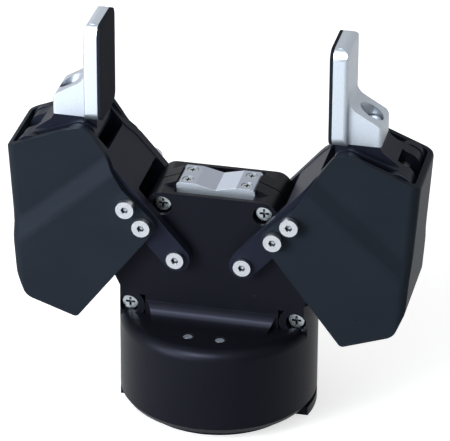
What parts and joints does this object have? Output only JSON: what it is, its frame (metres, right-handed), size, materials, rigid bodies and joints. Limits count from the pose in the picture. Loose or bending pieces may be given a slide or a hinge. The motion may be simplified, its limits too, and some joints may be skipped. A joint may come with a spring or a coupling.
{
  "type": "parallel two finger gripper",
  "caption": "Electric parallel-jaw gripper: round wrist base, worm-driven four-bar fingers with folded covers and padded upright fingertips.",
  "frame": {"origin": "centre of the flat mounting face under the wrist coupling", "axes": "+Z towards the fingertips, the fingers open along X, -Y is the front face with the housing screws"},
  "size_m": [0.1552, 0.075, 0.1536],
  "materials": {
    "black_anodised": "satin black anodised aluminium",
    "dark_cover": "fine satin dark coating",
    "bare_aluminium": "fine bead-blasted",
    "stainless": "machined",
    "zinc_steel": "bright zinc plating",
    "bronze": "sintered",
    "circuit_board": "solder mask",
    "pad_rubber": "smooth matt"
  },
  "bodies": {
    "base": {"wrist_coupling": "black_anodised", "coupling_screws": "zinc_steel", "base_drum": "black_anodised", "control_board": "circuit_board", "motor_can": "stainless", "worm_bearings": "stainless", "front_housing": "black_anodised", "rear_housing": "black_anodised", "housing_screws": "zinc_steel", "palm_block": "bare_aluminium", "palm_screws": "zinc_steel", "ledge_pins": "stainless", "knuckle_pins": "stainless", "crank_bushes": "bronze"},
    "worm": {"motor_rotor": "stainless", "worm_shaft": "stainless"},
    "right_outer_link": {"right_outer_knuckle": "black_anodised", "right_crank_shaft": "stainless", "right_outer_finger": "black_anodised", "right_elbow_pin": "stainless", "right_outer_pin": "stainless"},
    "right_inner_link": {"right_inner_knuckle": "black_anodised", "right_inner_pin": "stainless", "right_cover": "dark_cover", "right_cover_screws": "stainless"},
    "right_tip": {"right_inner_finger": "black_anodised", "right_fingertip": "bare_aluminium", "right_fingertip_screw": "stainless", "right_finger_pad": "pad_rubber"},
    "left_outer_link": {"left_outer_knuckle": "black_anodised", "left_crank_shaft": "stainless", "left_outer_finger": "black_anodised", "left_elbow_pin": "stainless", "left_outer_pin": "stainless"},
    "left_inner_link": {"left_inner_knuckle": "black_anodised", "left_inner_pin": "stainless", "left_cover": "dark_cover", "left_cover_screws": "stainless"},
    "left_tip": {"left_inner_finger": "black_anodised", "left_fingertip": "bare_aluminium", "left_fingertip_screw": "stainless", "left_finger_pad": "pad_rubber"}
  },
  "joints": [
    {"name": "grip", "type": "hinge", "parent": "base", "child": "right_outer_link", "pos_m": [0.0306, 0, 0.0594], "axis": [0, -1, 0], "range_deg": [0, 45.77]},
    {"name": "left_outer_knuckle_turn", "type": "hinge", "parent": "base", "child": "left_outer_link", "pos_m": [-0.0306, 0, 0.0594], "axis": [0, 1, 0], "range_deg": [0, 45.77]},
    {"name": "right_inner_knuckle_turn", "type": "hinge", "parent": "base", "child": "right_inner_link", "pos_m": [0.0127, 0, 0.0659], "axis": [0, -1, 0], "range_deg": [0, 45.77]},
    {"name": "right_tip_turn", "type": "hinge", "parent": "right_outer_link", "child": "right_tip", "pos_m": [0.06824, 0, 0.1024], "axis": [0, -1, 0], "range_deg": [-45.77, 0]},
    {"name": "left_inner_knuckle_turn", "type": "hinge", "parent": "base", "child": "left_inner_link", "pos_m": [-0.0127, 0, 0.0659], "axis": [0, 1, 0], "range_deg": [0, 45.77]},
    {"name": "left_tip_turn", "type": "hinge", "parent": "left_outer_link", "child": "left_tip", "pos_m": [-0.06824, 0, 0.1024], "axis": [0, 1, 0], "range_deg": [-45.77, 0]},
    {"name": "worm_spin", "type": "hinge", "parent": "base", "child": "worm", "pos_m": [0, 0, 0.0594], "axis": [0, 0, 1], "range_deg": [0, 1830.66]}
  ],
  "couplings": [
    {"joint": "left_outer_knuckle_turn", "follows": "grip", "ratio": 1},
    {"joint": "right_inner_knuckle_turn", "follows": "grip", "ratio": 1},
    {"joint": "right_tip_turn", "follows": "grip", "ratio": -1},
    {"joint": "left_inner_knuckle_turn", "follows": "grip", "ratio": 1},
    {"joint": "left_tip_turn", "follows": "grip", "ratio": -1},
    {"joint": "worm_spin", "follows": "grip", "ratio": 40}
  ]
}
